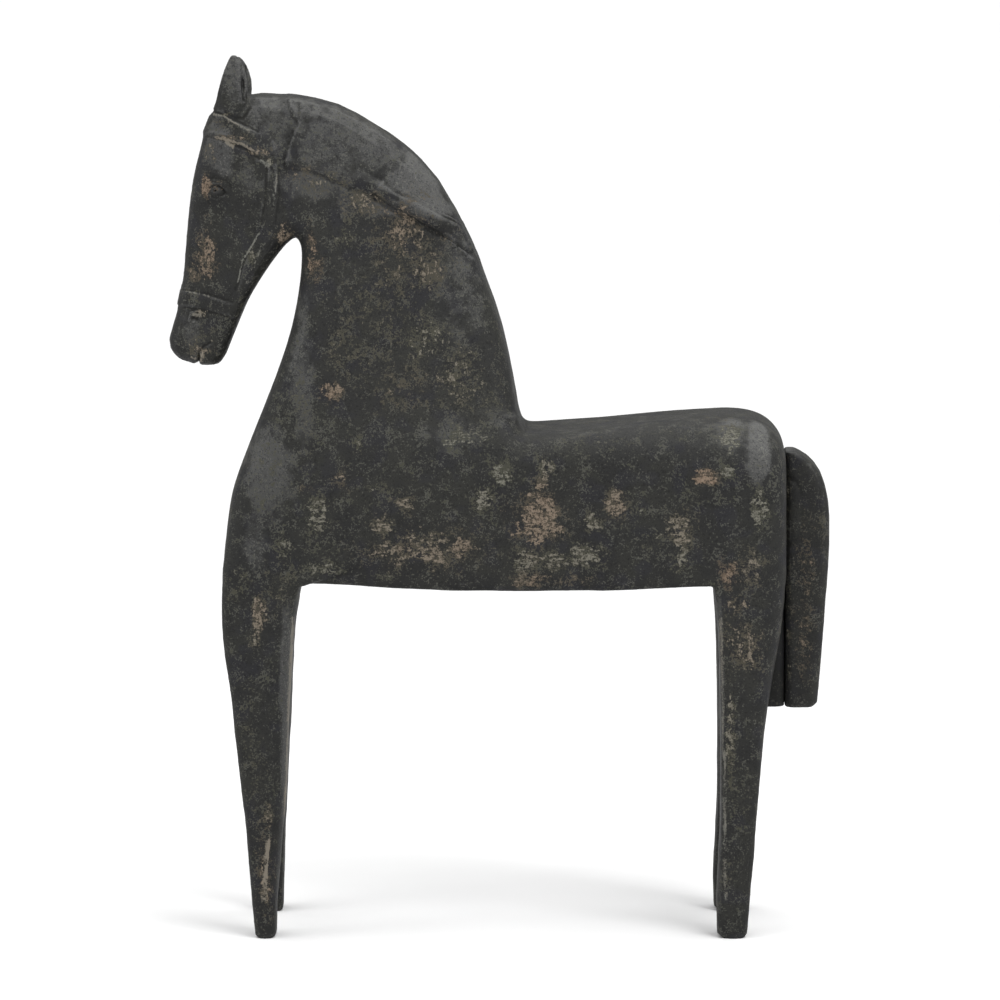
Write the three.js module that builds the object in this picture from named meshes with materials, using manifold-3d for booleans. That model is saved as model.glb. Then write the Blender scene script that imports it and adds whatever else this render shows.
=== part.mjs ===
// A carved wooden horse that stands on four tapering legs, with a plank tail fixed to its rump.
// Millimetres. +Z is up, the horse looks along -X, and its left flank faces -Y.
import * as THREE from "three";
import { mergeVertices } from "three/addons/utils/BufferGeometryUtils.js";
import Module from "manifold-3d";

const wasm = await Module();
wasm.setup();

// Driving sizes
const HEIGHT = 760; // ear tips above the ground
const BODY_WIDTH = 156; // over both flanks
const FOOT_STANCE = 157; // over both feet
const FOOT_THICKNESS = 34; // one foot, across the horse
const THIGH_THICKNESS = 50; // one leg where it meets the belly
const LEG_EDGE = 7; // rounding of the legs' long edges
const BELLY_EDGE = 5; // rounding of the belly's lower edges
const RUMP_CORNER = 22; // how far the rump draws in towards its flat back
const LEG_PROUD = 0.4; // step from the flank out to the leg's face
const TAIL_WIDTH = 46;
const TAIL_EDGE = 8;
const WEB_INSET = 2; // from the tail's side in to the side of the block that backs it
const SEAM = 0.3; // glue line between rump and tail
const EAR_INSET = 6.5; // from the side of the poll in to the middle of an ear
const RIGHT_EAR_DROP = 4; // the right ear ends a little lower
const MANE_RAISE = 3; // mane above the neck
const CREST_RAISE = 1.5; // mane above the crest line
const ROLL_RAISE = 5; // rolled lower edge of the mane above the neck
const ROLL_WIDTH = 17;
const STRAP_RAISE = 2.2; // bridle straps above the head

// The side view is drawn for this height, and the widths of neck and head for this body.
const DRAWN_HEIGHT = 760;
const DRAWN_WIDTH = 156;
const scale = HEIGHT / DRAWN_HEIGHT;
const widthScale = BODY_WIDTH / DRAWN_WIDTH;
const CORNER_STEPS = 3;
const ROLL_SIDES = 10;

// Neck and head, from the chest up over the poll and down to the lips. Each station runs from the
// throat side to the crest side: throat x, z, crest x, z, then half width and edge rounding at each end.
const neckStations = [
  [-238, 307.5, -168, 307.5, 78, 8, 78.5, 4],
  [-237.5, 325, -120, 325, 78, 10, 78.5, 4],
  [-234.5, 353, -70, 353, 78, 14, 78.5, 4],
  [-229, 388, -30, 388, 77.5, 18, 78.5, 4],
  [-215, 425, 20, 426, 75, 20, 73, 16],
  [-207.5, 444, 17, 439, 73, 20, 68, 16],
  [-200.5, 462, 13.6, 458, 71, 20, 61, 17],
  [-188.4, 495, 7.2, 496, 66, 20, 53, 20],
  [-178.3, 526, -4.5, 544, 61, 20, 46, 22],
  [-172.3, 554, -26.5, 597.5, 56, 19, 41, 23],
  [-169.4, 580, -54.5, 650, 52, 18, 37, 23],
  [-169.3, 593, -83, 679.8, 49, 17, 35, 23],
  [-170.6, 599.5, -111, 698.5, 48, 16, 34, 22],
  [-172.6, 602.8, -140, 714.2, 46, 16, 34, 21],
  [-175, 604.3, -172, 722, 45, 16, 34, 20],
  [-178.5, 602.8, -205, 725.4, 44, 15, 36, 18],
  [-184, 598, -231, 719, 44, 15, 37, 16],
  [-193, 587, -248, 705.8, 44, 14, 37, 16],
  [-203, 573, -256.8, 679, 43, 13, 34, 16],
  [-212, 559, -264.2, 650, 40, 12, 30, 15],
  [-220, 545, -268.2, 622, 36, 11, 26, 14],
  [-227, 528, -270.8, 596, 33, 11, 24, 13],
  [-233.7, 512, -273.4, 566, 30.5, 11, 23, 13],
  [-238.2, 500.2, -277.8, 541, 30, 12, 23, 14],
  [-243.2, 493.8, -286.2, 514, 29, 13, 22, 14],
  [-252, 492, -282.3, 501.5, 24, 13, 19, 13],
  [-259.5, 492.4, -276.2, 496.6, 15, 7, 13, 7],
];

// Barrel of the body from inside the chest to the flat back of the rump:
// x, belly z, back z, how far the flank stands inside the full width, rounding of the top edge.
const RUMP_BACK = 246.4;
const barrelStations = [
  [-186, 308.5, 400, 12, 40],
  [-150, 308, 422, 4, 44],
  [-100, 305.8, 429, 1, 44],
  [-40, 303.3, 432.5, 0, 42],
  [0, 302.4, 434, 0, 33],
  [34, 302.2, 435.1, 0, 22],
  [86, 302.8, 438.6, 0, 24],
  [139, 304.5, 444.1, 0, 32],
  [178, 306.4, 448, 0, 39],
  [204, 307.5, 448.6, 0, 41],
  [218, 308, 446.7, 0, 41],
  [228, 308.5, 442.6, 0, 40],
  [236, 309, 436, 0, 38],
  [241.5, 309.5, 428.8, 0, 35],
  [245, 310, 421, 0, 31],
  [RUMP_BACK, 310, 412, 0, 26],
];

// Legs from the ground up into the body: z, front x, back x. From the join up they are as wide apart
// as the body and as thick as a thigh, and above the sink they draw in under the flank.
const LEG_JOIN = 307;
const LEG_SINK = 322;
const LEG_TOP = 345;
const LEG_SUNK = 3; // how far the top ends lie inside the flank
const frontLeg = [
  [0, -210.5, -197],
  [2, -212.4, -195],
  [32, -215, -194.4],
  [67, -217.6, -192.9],
  [102, -220.3, -190.8],
  [137, -223.8, -189.1],
  [172, -227.6, -187.2],
  [207, -231, -185.8],
  [242, -236, -184],
  [272, -238.7, -180.8],
  [294, -238.6, -176.2],
  [307.5, -238, -171.2],
  [LEG_SINK, -236, -166],
  [LEG_TOP, -232, -150],
];
const hindLeg = [
  [0, 191.5, 210.5],
  [4, 187.3, 212.9],
  [32, 186.8, 215.6],
  [67, 188.4, 218.6],
  [102, 189.9, 220.6],
  [137, 190.1, 223.8],
  [172, 190.1, 226.8],
  [200, 190, 230.7],
  [235, 189.5, 236.8],
  [265, 188.4, 242],
  [290, 186.2, 245],
  [307.5, 184, 245.8],
  [LEG_SINK, 180, 244.5],
  [LEG_TOP, 168, 240],
];

// The rump's corners are rounded from here down the thighs, where the rounding fades into the legs.
const RUMP_EDGE_FULL = 300;
const RUMP_EDGE_END = 130;

// The block that hangs from the rump between the thighs, and the tail that it backs: z, front x, back x.
const WEB_BOTTOM = 193.5;
const web = [
  [WEB_BOTTOM, 226, RUMP_BACK],
  [250, 226, RUMP_BACK],
  [312, 226, RUMP_BACK - 1.5],
];
const tailFront = RUMP_BACK + SEAM / scale;
const tail = [
  [WEB_BOTTOM - 0.5, tailFront + 1, 271],
  [WEB_BOTTOM + 3, tailFront, 275],
  [231, tailFront, 277.9],
  [266, tailFront, 280.6],
  [301, tailFront, 283],
  [336, tailFront, 285.1],
  [356, tailFront, 285.2],
  [372, tailFront, 284.3],
  [385, tailFront, 281.7],
  [396, tailFront, 277.8],
  [404, tailFront, 272.5],
  [410, tailFront, 266.5],
  [414, tailFront, 260],
  [416, tailFront + 1, 255],
];

// One ear from inside the head to its tip: z, front x, back x, half thickness.
const ear = [
  [698, -243, -226, 8],
  [705, -246, -223.5, 9],
  [712, -245.8, -221.5, 9.2],
  [721, -242.5, -216.8, 9],
  [730, -240.4, -215, 8.4],
  [739, -237.9, -215.6, 7.4],
  [747, -235.2, -217.5, 6],
  [753, -232.6, -220, 4.6],
  [757.5, -230.4, -222.9, 3],
  [760, -228.4, -225.6, 1.5],
];

// Outlines in the side view of what is carved on the neck and head.
const maneOutline = [
  [-184, 728], [-172, 702], [-177, 691], [-184, 666], [-160, 661], [-130, 648], [-108, 639],
  [-84, 625], [-56, 609], [-30, 592], [-19, 579.5], [-6, 577], [40, 600], [0, 740], [-180, 770],
];
const rollPath = [
  [-126, 656], [-112, 650], [-90, 639], [-66, 625.5], [-42, 611.5], [-22, 600.5], [-8, 593],
];
const browband = [
  [-275, 720], [-245, 711], [-232, 707], [-224, 703], [-207, 696], [-192, 687], [-189, 672],
  [-197, 667], [-209, 675], [-216, 683], [-224, 687], [-233, 690], [-244, 691], [-275, 697],
];
const cheekStrap = [
  [-209, 677], [-206, 655], [-204, 630], [-206, 611], [-212, 598], [-218, 584], [-222, 573],
  [-226, 548], [-215, 546], [-210, 572], [-201, 587], [-194, 598], [-191, 615], [-190, 640],
  [-190, 668],
];
const noseband = [
  [-295, 564], [-275, 560], [-264, 557], [-250, 552], [-225, 546], [-205, 540], [-205, 524],
  [-230, 534], [-245, 539.5], [-260, 542], [-275, 542.5], [-295, 546],
];
const mouthSlit = [[-267, 487], [-259.5, 487], [-262.5, 499.5]];

// Small hollows and bosses on the head: x, z in the side view, then radii along x, y and z.
const EYEBALL_SINK = 2; // from the side of the head in to the middle of the eyeball
const HOLLOW_OUT = 8; // from the middle of the ear out to the middle of its hollow
const earHollow = { x: -219.2, z: 735, radii: [2.4, 6, 10] };
const eyeSocket = { x: -242, z: 643.5, radii: [9, 3, 6.5] };
const eyeball = { x: eyeSocket.x, z: eyeSocket.z, radii: [5.5, 3.2, 4.2] };
const nostril = { x: -262, z: 532, radii: [5, 3.5, 3.5] };
const earFoot = { x: -235, z: 705 };

const lerp = THREE.MathUtils.lerp;

// A closed ring like the section of a plank with rounded edges. It starts at origin and runs for
// length along direction. Each end has its own half width and rounding, measured across the horse.
function plankRing(origin, direction, length, start, end) {
  const points = [];
  const corner = (at, inward, width, radius, side, reversed) => {
    const r = Math.min(radius, width, length / 2);
    for (let i = 0; i <= CORNER_STEPS; i += 1) {
      const turn = ((reversed ? CORNER_STEPS - i : i) / CORNER_STEPS) * (Math.PI / 2);
      const along = at + inward * r * (1 - Math.sin(turn));
      const across = side * (width - r + r * Math.cos(turn));
      points.push(origin.clone().addScaledVector(direction, along).add(new THREE.Vector3(0, across, 0)));
    }
  };
  corner(0, 1, start.width, start.radius, 1, true);
  corner(length, -1, end.width, end.radius, 1, false);
  corner(length, -1, end.width, end.radius, -1, true);
  corner(0, 1, start.width, start.radius, -1, false);
  return points;
}

// Joins rings of equally many points into one closed skin, with a flat fan over each end.
function loft(rings) {
  const count = rings[0].length;
  const points = rings.flat();
  const faces = [];
  for (let r = 0; r + 1 < rings.length; r += 1) {
    for (let i = 0; i < count; i += 1) {
      const a = r * count + i;
      const b = r * count + ((i + 1) % count);
      faces.push(a, b, a + count, b, b + count, a + count);
    }
  }
  for (const [ring, first] of [[rings[0], 0], [rings.at(-1), (rings.length - 1) * count]]) {
    const middle = points.length;
    const centre = ring.reduce((sum, p) => sum.add(p), new THREE.Vector3()).divideScalar(count);
    points.push(centre);
    for (let i = 0; i < count; i += 1) {
      const here = first + i;
      const next = first + ((i + 1) % count);
      faces.push(...(first === 0 ? [middle, next, here] : [middle, here, next]));
    }
  }
  const geometry = new THREE.BufferGeometry().setFromPoints(points);
  geometry.setIndex(faces);
  return solidOf(geometry);
}

// A three.js geometry as a solid, turned so that its faces point out.
function solidOf(geometry) {
  const bare = geometry.clone();
  bare.deleteAttribute("normal");
  bare.deleteAttribute("uv");
  const merged = mergeVertices(bare, 1e-4);
  const vertProperties = new Float32Array(merged.attributes.position.array);
  const triVerts = new Uint32Array(merged.index.array);
  const made = new wasm.Manifold(new wasm.Mesh({ numProp: 3, vertProperties, triVerts }));
  if (made.volume() > 0) return made;
  triVerts.reverse();
  return new wasm.Manifold(new wasm.Mesh({ numProp: 3, vertProperties, triVerts }));
}

function geometryOf(solid) {
  const mesh = solid.getMesh();
  const geometry = new THREE.BufferGeometry();
  geometry.setAttribute("position", new THREE.BufferAttribute(new Float32Array(mesh.vertProperties), 3));
  geometry.setIndex(new THREE.BufferAttribute(new Uint32Array(mesh.triVerts), 1));
  geometry.computeVertexNormals();
  return geometry;
}

const joined = (solids) => solids.reduce((all, next) => all.add(next));

// Rows of numbers that follow one another smoothly: the row at a place between two given rows.
function rowAt(rows, place) {
  const i = Math.min(Math.floor(place), rows.length - 2);
  const t = place - i;
  const before = rows[Math.max(i - 1, 0)];
  const after = rows[Math.min(i + 2, rows.length - 1)];
  return rows[i].map((value, k) => {
    const next = rows[i + 1][k];
    const pull = (next - before[k]) / 2;
    const push = (after[k] - value) / 2;
    const bend = 2 * (value - next) + pull + push;
    return value + t * (pull + t * (3 * (next - value) - 2 * pull - push + t * bend));
  });
}

function rowsBetween(rows, each) {
  const steps = (rows.length - 1) * each;
  return Array.from({ length: steps + 1 }, (_, i) => rowAt(rows, i / each));
}

// Neck and head. The straps and the mane are cut from the same form, grown by raise at the sides
// and by crest along the crest and the face.
function neckSection(row, raise, crest) {
  const [frontX, frontZ, backX, backZ, frontWidth, frontRadius, backWidth, backRadius] = row;
  const origin = new THREE.Vector3(frontX, 0, frontZ).multiplyScalar(scale);
  const direction = new THREE.Vector3(backX, 0, backZ).multiplyScalar(scale).sub(origin);
  const length = direction.length() + crest;
  direction.normalize();
  const start = { width: frontWidth * widthScale + raise, radius: frontRadius * scale };
  const end = { width: backWidth * widthScale + raise, radius: backRadius * scale };
  return { origin, direction, length, start, end };
}

function neckAndHead(raise = 0, crest = 0) {
  const sections = rowsBetween(neckStations, 2).map((row) => neckSection(row, raise, crest));
  return loft(sections.map((s) => plankRing(s.origin, s.direction, s.length, s.start, s.end)));
}

// Half width of the neck or head at a point of the side view, read from the nearest section above
// the shoulder.
const SHOULDER_STATION = 5;
const SEARCH_STEP = 0.02;
function halfWidthAt(x, z) {
  const point = new THREE.Vector3(x, 0, z).multiplyScalar(scale);
  let best = { off: Infinity, width: 0 };
  for (let place = SHOULDER_STATION; place < neckStations.length - 1; place += SEARCH_STEP) {
    const s = neckSection(rowAt(neckStations, place), 0, 0);
    const from = point.clone().sub(s.origin);
    const along = from.dot(s.direction);
    const off = from.addScaledVector(s.direction, -along).length();
    if (off < best.off && along > 0 && along < s.length) {
      const radius = Math.min(s.end.radius, s.end.width);
      const past = Math.max(along - (s.length - radius), 0);
      const drawnIn = radius - Math.sqrt(radius * radius - past * past);
      best = { off, width: lerp(s.start.width, s.end.width, along / s.length) - drawnIn };
    }
  }
  return best.width;
}

function barrel() {
  const sections = rowsBetween(barrelStations, 2).map(([x, low, high, inset, radius]) => {
    const pastFlat = Math.max(0, x * scale - (RUMP_BACK * scale - RUMP_CORNER));
    const drawnIn = RUMP_CORNER - Math.sqrt(Math.max(0, RUMP_CORNER ** 2 - pastFlat ** 2));
    const width = BODY_WIDTH / 2 - inset - drawnIn;
    const origin = new THREE.Vector3(x, 0, low).multiplyScalar(scale);
    const start = { width, radius: BELLY_EDGE };
    const end = { width, radius: radius * scale };
    return plankRing(origin, new THREE.Vector3(0, 0, 1), (high - low) * scale, start, end);
  });
  return loft(sections);
}

// A post of level sections: z, front x, back x, with its middle y and half thickness from across(z).
function post(rows, across, radius, backRadius = () => radius) {
  const sections = rows.map(([z, front, back]) => {
    const { middle, thickness } = across(z);
    const origin = new THREE.Vector3(front * scale, middle, z * scale);
    const start = { width: thickness / 2, radius };
    const end = { width: thickness / 2, radius: backRadius(z) };
    return plankRing(origin, new THREE.Vector3(1, 0, 0), (back - front) * scale, start, end);
  });
  return loft(sections);
}

// A leg stands a hair proud of the flank that it runs into, and ends sunk inside the body.
function leg(rows, side, backRadius) {
  const across = (z) => {
    const up = Math.min(z / LEG_JOIN, 1);
    const sunk = LEG_SUNK * THREE.MathUtils.clamp((z - LEG_SINK) / (LEG_TOP - LEG_SINK), 0, 1);
    const outer = lerp(FOOT_STANCE / 2, BODY_WIDTH / 2 + LEG_PROUD, up) - sunk;
    const thickness = lerp(FOOT_THICKNESS, THIGH_THICKNESS, up);
    return { middle: side * (outer - thickness / 2), thickness };
  };
  return post(rows, across, LEG_EDGE, backRadius);
}

const earMiddle = halfWidthAt(earFoot.x, earFoot.z) - EAR_INSET;

function earSolid(side) {
  const rows = ear.map(([z, front, back, thick]) => {
    const drop = side > 0 ? RIGHT_EAR_DROP : 0;
    const share = (z - ear[0][0]) / (ear.at(-1)[0] - ear[0][0]);
    return [z - (drop * share) / scale, front, back, thick];
  });
  const sections = rows.map(([z, front, back, thick]) => {
    const origin = new THREE.Vector3(front, 0, z).multiplyScalar(scale);
    origin.y = side * earMiddle;
    const end = { width: thick * scale, radius: thick * scale };
    return plankRing(origin, new THREE.Vector3(1, 0, 0), (back - front) * scale, end, end);
  });
  return loft(sections);
}

// A drawn outline pushed through the whole width of the horse.
function throughCut(outline) {
  const shape = new THREE.Shape(outline.map(([x, z]) => new THREE.Vector2(x * scale, z * scale)));
  const depth = BODY_WIDTH * 2;
  const geometry = new THREE.ExtrudeGeometry(shape, { depth, bevelEnabled: false });
  geometry.translate(0, 0, -depth / 2);
  geometry.rotateX(Math.PI / 2);
  return solidOf(geometry);
}

function ovals(spot, y) {
  return joined([-1, 1].map((side) => {
    const geometry = new THREE.SphereGeometry(1, 12, 8);
    geometry.scale(...spot.radii.map((radius) => radius * scale));
    geometry.translate(spot.x * scale, side * y, spot.z * scale);
    return solidOf(geometry);
  }));
}

// The rolled lower edge of the mane on one side, sunk into the neck along its path. It swells from a
// share of its full size over its first rings.
const ROLL_START = 0.35;
const ROLL_SWELL_RINGS = 4;
function maneRoll(side) {
  const path = rowsBetween(rollPath, 2);
  const rings = path.map(([x, z], i) => {
    const [aheadX, aheadZ] = path[Math.min(i + 1, path.length - 1)];
    const [behindX, behindZ] = path[Math.max(i - 1, 0)];
    const up = new THREE.Vector3(behindZ - aheadZ, 0, aheadX - behindX).normalize();
    const swell = Math.min(1, ROLL_START + i / ROLL_SWELL_RINGS);
    const centre = new THREE.Vector3(x * scale, side * halfWidthAt(x, z), z * scale);
    return Array.from({ length: ROLL_SIDES }, (_, k) => {
      const turn = (k / ROLL_SIDES) * Math.PI * 2;
      const out = new THREE.Vector3(0, side * Math.sin(turn) * ROLL_RAISE * swell, 0);
      return centre.clone().addScaledVector(up, (Math.cos(turn) * ROLL_WIDTH * swell) / 2).add(out);
    });
  });
  return loft(rings).intersect(neckAndHead(ROLL_RAISE * 2, CREST_RAISE));
}

function horseSolid() {
  const sides = [-1, 1];
  const rumpEdge = (z) =>
    lerp(LEG_EDGE, RUMP_CORNER, THREE.MathUtils.smoothstep(z, RUMP_EDGE_END, RUMP_EDGE_FULL));
  const legs = sides.flatMap((side) => [leg(frontLeg, side), leg(hindLeg, side, rumpEdge)]);
  const webBlock = post(web, () => ({ middle: 0, thickness: TAIL_WIDTH - 2 * WEB_INSET }), LEG_EDGE);
  const straps = neckAndHead(STRAP_RAISE, STRAP_RAISE).intersect(
    joined([browband, cheekStrap, noseband].map(throughCut)),
  );
  const mane = neckAndHead(MANE_RAISE, CREST_RAISE).intersect(throughCut(maneOutline));
  const body = joined([
    neckAndHead(), barrel(), webBlock, mane, straps,
    ...legs, ...sides.map(earSolid), ...sides.map(maneRoll),
  ]);
  const eyeY = halfWidthAt(eyeSocket.x, eyeSocket.z);
  const nostrilY = halfWidthAt(nostril.x, nostril.z);
  return body
    .subtract(throughCut(mouthSlit))
    .subtract(ovals(earHollow, earMiddle + HOLLOW_OUT))
    .subtract(ovals(eyeSocket, eyeY))
    .subtract(ovals(nostril, nostrilY))
    .add(ovals(eyeball, eyeY - EYEBALL_SINK));
}

function tailSolid() {
  return post(tail, () => ({ middle: 0, thickness: TAIL_WIDTH }), TAIL_EDGE);
}

const paintedWood = () => new THREE.MeshStandardMaterial({ color: "#3c3a36", roughness: 0.62, metalness: 0 });

const sculpture = new THREE.Group();
for (const [name, solid] of [["horse", horseSolid()], ["tail", tailSolid()]]) {
  const mesh = new THREE.Mesh(geometryOf(solid), paintedWood());
  mesh.name = name;
  sculpture.add(mesh);
}

export default sculpture;
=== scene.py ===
"""A carved wooden horse in worn black paint on a plain pale floor.

Metres, +Z up. The horse looks along -X and its left flank faces the camera at -Y.
"""

import itertools
import math
from collections import namedtuple

import bmesh
import bpy
import numpy as np
from mathutils import Matrix, Vector


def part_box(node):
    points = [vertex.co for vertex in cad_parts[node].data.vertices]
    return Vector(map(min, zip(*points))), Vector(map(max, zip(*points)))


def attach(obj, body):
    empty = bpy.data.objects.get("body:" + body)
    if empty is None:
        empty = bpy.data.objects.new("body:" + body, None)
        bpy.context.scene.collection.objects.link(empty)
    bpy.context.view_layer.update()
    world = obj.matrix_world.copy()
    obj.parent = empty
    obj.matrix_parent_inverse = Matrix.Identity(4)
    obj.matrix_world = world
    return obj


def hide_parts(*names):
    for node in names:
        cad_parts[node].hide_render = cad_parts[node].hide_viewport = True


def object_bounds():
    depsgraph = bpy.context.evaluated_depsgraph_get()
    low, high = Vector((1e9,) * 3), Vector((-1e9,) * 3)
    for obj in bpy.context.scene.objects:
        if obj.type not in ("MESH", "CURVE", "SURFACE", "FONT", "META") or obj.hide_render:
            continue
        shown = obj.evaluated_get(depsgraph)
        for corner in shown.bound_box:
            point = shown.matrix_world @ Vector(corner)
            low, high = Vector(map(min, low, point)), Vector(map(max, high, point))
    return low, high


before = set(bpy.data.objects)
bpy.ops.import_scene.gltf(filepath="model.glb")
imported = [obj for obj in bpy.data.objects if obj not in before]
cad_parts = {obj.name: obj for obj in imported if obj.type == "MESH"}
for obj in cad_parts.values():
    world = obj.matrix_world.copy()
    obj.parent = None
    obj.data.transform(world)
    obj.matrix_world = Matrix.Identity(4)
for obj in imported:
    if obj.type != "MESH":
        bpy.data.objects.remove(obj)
cad_low, cad_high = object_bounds()

MM = 0.001
TINY = 1e-9  # keeps a division clear of zero

# The camera, fitted to the photograph, whose pixels are the units of the carved lines and worn patches
PHOTO_SIDE = 1000
SENSOR_MM = 36.0
LENS_MM = 205.36
CAMERA_AT = Vector((0.0780, -4.9232, 0.9696))
CAMERA_YAW = math.radians(0.913)
CAMERA_PITCH = math.radians(6.917)
CAMERA_ROLL = math.radians(-0.180)
CLIP_END = 100

# Mesh sizes
HORSE_VOXEL = 1.35 * MM
TAIL_VOXEL = 1.1 * MM
HORSE_TRIANGLES = 105000  # after thinning, before the long edges are split
TAIL_TRIANGLES = 9000
LONGEST_EDGE = 6.2 * MM  # on the sides
LONGER_ELSEWHERE = 2  # times as long off the sides
SIDE_FACING = 0.5  # a place is on the sides where its normal's share along Y is above this
EVENING_ROUNDS = 6
LINE_REACH = 3.2 * MM  # the skin is refined this close to a carved line
EYE_REACH = 10 * MM

# How far fairing may move the skin, and how far the skin is then grown to make up for it
FAIR_ROUNDS = 140
TAIL_FAIR_ROUNDS = FAIR_ROUNDS // 3
FAIR_CAP_BODY = 1.4 * MM
FAIR_CAP_FINE = 0.45 * MM  # on the head and the mane
FAIR_CAP_LEGS = 0.3 * MM  # on the legs and along the belly
FAIR_CAP_THIGH = 0.8 * MM  # on the rounded backs of the thighs
FAIR_CAP_TAIL = 0.25 * MM
GROW_BODY = 0.9 * MM
GROW_FINE = 0.6 * MM
GROW_LEGS = 0.4 * MM

# Heights and stations where the form changes
HEAD_BACK = -0.176
HEAD_LOW = 0.485
MANE_LOW = 0.575
LEG_HIGH = 0.314
BARREL_LOW = 0.340
THIGH_BACK = 0.215
BLOCK_FRONT = 0.2255  # of the block between the thighs
BLOCK_SIDE = 0.023
BLOCK_HIGH = 0.325

# How far the changes between those forms reach, and the ranges over which grain turns level on the barrel
HEAD_FADE = (0.012, -0.004)  # behind the back of the head, and before it
HEAD_LOW_FADE = 0.01
MANE_FADE = 0.02
THIGH_FADE = 0.01
THIGH_RISE = (0.13, 0.20)
BLOCK_FADE = 0.004
BLOCK_DARK_FADE = 2 * MM
BLOCK_MARGIN = MM / 10
BARREL_GRAIN_LOW = (0.300, 0.325)
BARREL_GRAIN_HIGH = (0.475, 0.430)
BARREL_GRAIN_FRONT = (-0.215, -0.175)

RUMP_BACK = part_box("horse")[1][0]

# Planes on which the features drawn in pixels lie
FLANK = cad_low.y
HEAD_SIDE = -0.036
MANE_SIDE = -0.042
TAIL_SIDE = -0.022


def camera_axes():
    """Right, up and forward of the camera."""
    yaw, pitch, roll = CAMERA_YAW, CAMERA_PITCH, CAMERA_ROLL
    forward = Vector((-math.sin(yaw) * math.cos(pitch), math.cos(yaw) * math.cos(pitch), -math.sin(pitch)))
    level = Vector((math.cos(yaw), math.sin(yaw), 0))
    up = level.cross(forward)
    right = level * math.cos(roll) + up * math.sin(roll)
    return right, up * math.cos(roll) - level * math.sin(roll), forward


def side_view(across, down, plane=FLANK):
    """Where the photograph's pixel lies in the side view, on the plane at y = plane."""
    right, up, forward = camera_axes()
    reach = PHOTO_SIDE * LENS_MM / SENSOR_MM
    middle = PHOTO_SIDE / 2
    ray = forward * reach + right * (across - middle) - up * (down - middle)
    hit = CAMERA_AT + ray * ((plane - CAMERA_AT.y) / ray.y)
    return np.array((hit.x, hit.z))


def make_camera():
    data = bpy.data.cameras.new("camera")
    data.lens = LENS_MM
    data.sensor_width = SENSOR_MM
    data.clip_end = CLIP_END
    camera = bpy.data.objects.new("camera", data)
    right, up, forward = camera_axes()
    turn = Matrix((right, up, -forward)).transposed().to_4x4()
    camera.matrix_world = Matrix.Translation(CAMERA_AT) @ turn
    bpy.context.scene.collection.objects.link(camera)
    bpy.context.scene.camera = camera


# Number fields

# Large odd numbers that scramble a cell's place into an even draw
STRIDE_X = 374761393
STRIDE_Y = 668265263
STRIDE_Z = 2147483647
SCRAMBLE = 1274126177
LOW_32_BITS = 0xFFFFFFFF
LOW_16_BITS = 0xFFFF


def smoothstep(low, high, value):
    t = np.clip((value - low) / (high - low), 0, 1)
    return t * t * (3 - 2 * t)


def lumps(points, size, seed):
    """Smooth noise from 0 to 1 at each point, with lumps of about that size."""
    place = points / size
    cell = np.floor(place).astype(np.int64)
    part = place - cell
    part = part * part * (3 - 2 * part)
    total = np.zeros(len(points))
    for corner in itertools.product((0, 1), repeat=3):
        x, y, z = (cell + corner).T
        mixed = (x * STRIDE_X + y * STRIDE_Y + z * STRIDE_Z + seed * SCRAMBLE) & LOW_32_BITS
        mixed = ((mixed ^ (mixed >> 13)) * SCRAMBLE) & LOW_32_BITS
        value = ((mixed ^ (mixed >> 16)) & LOW_16_BITS) / LOW_16_BITS
        total += value * np.prod(np.where(corner, part, 1 - part), axis=1)
    return total


def near_line(places, path):
    """Distance from each place in the side view to a path of points."""
    best = np.full(len(places), np.inf)
    for start, end in zip(path, path[1:]):
        along = end - start
        share = np.clip((places - start) @ along / (along @ along), 0, 1)
        best = np.minimum(best, np.linalg.norm(places - start - share[:, None] * along, axis=1))
    return best


# Mesh tools

def remeshed(source, voxel):
    """A copy of an object's mesh as one even skin of small squares."""
    work = bpy.data.objects.new("work", source.data.copy())
    bpy.context.scene.collection.objects.link(work)
    skin = work.modifiers.new("skin", "REMESH")
    skin.mode = "VOXEL"
    skin.voxel_size = voxel
    depsgraph = bpy.context.evaluated_depsgraph_get()
    mesh = bpy.data.meshes.new_from_object(work.evaluated_get(depsgraph))
    bpy.data.objects.remove(work)
    return mesh


def points_of(mesh):
    flat = np.empty(len(mesh.vertices) * 3)
    mesh.vertices.foreach_get("co", flat)
    return flat.reshape(-1, 3)


def set_points(mesh, points):
    mesh.vertices.foreach_set("co", points.astype(np.float32).ravel())
    mesh.update()


def normals_of(mesh):
    flat = np.empty(len(mesh.vertices) * 3)
    mesh.vertex_normals.foreach_get("vector", flat)
    return flat.reshape(-1, 3)


def edge_ends(mesh):
    ends = np.empty(len(mesh.edges) * 2, int)
    mesh.edges.foreach_get("vertices", ends)
    return ends.reshape(-1, 2).T


def neighbour_mean(values, ends):
    """The mean of each point's neighbours, for a column of values."""
    a, b = ends
    count = len(values)
    total = np.bincount(a, values[b], count) + np.bincount(b, values[a], count)
    return total / np.maximum(np.bincount(ends.ravel(), minlength=count), 1)


def faired(mesh, rounds, cap):
    """Evens out facets. No point ends further than its cap from where it began."""
    start = points_of(mesh)
    ends = edge_ends(mesh)
    points = start.copy()
    for _ in range(rounds):
        mean = np.stack([neighbour_mean(points[:, k], ends) for k in range(3)], 1)
        moved = (points + mean) / 2 - start
        far = np.linalg.norm(moved, axis=1)
        points = start + moved * np.minimum(1, cap / np.maximum(far, TINY))[:, None]
    set_points(mesh, points)


def refined(mesh, chosen):
    """Splits every edge whose two ends are chosen, so that the skin is twice as fine there."""
    bm = bmesh.new()
    bm.from_mesh(mesh)
    bm.verts.ensure_lookup_table()
    edges = [e for e in bm.edges if chosen[e.verts[0].index] and chosen[e.verts[1].index]]
    bmesh.ops.subdivide_edges(bm, edges=edges, cuts=1, use_grid_fill=True)
    bm.to_mesh(mesh)
    bm.free()


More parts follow.
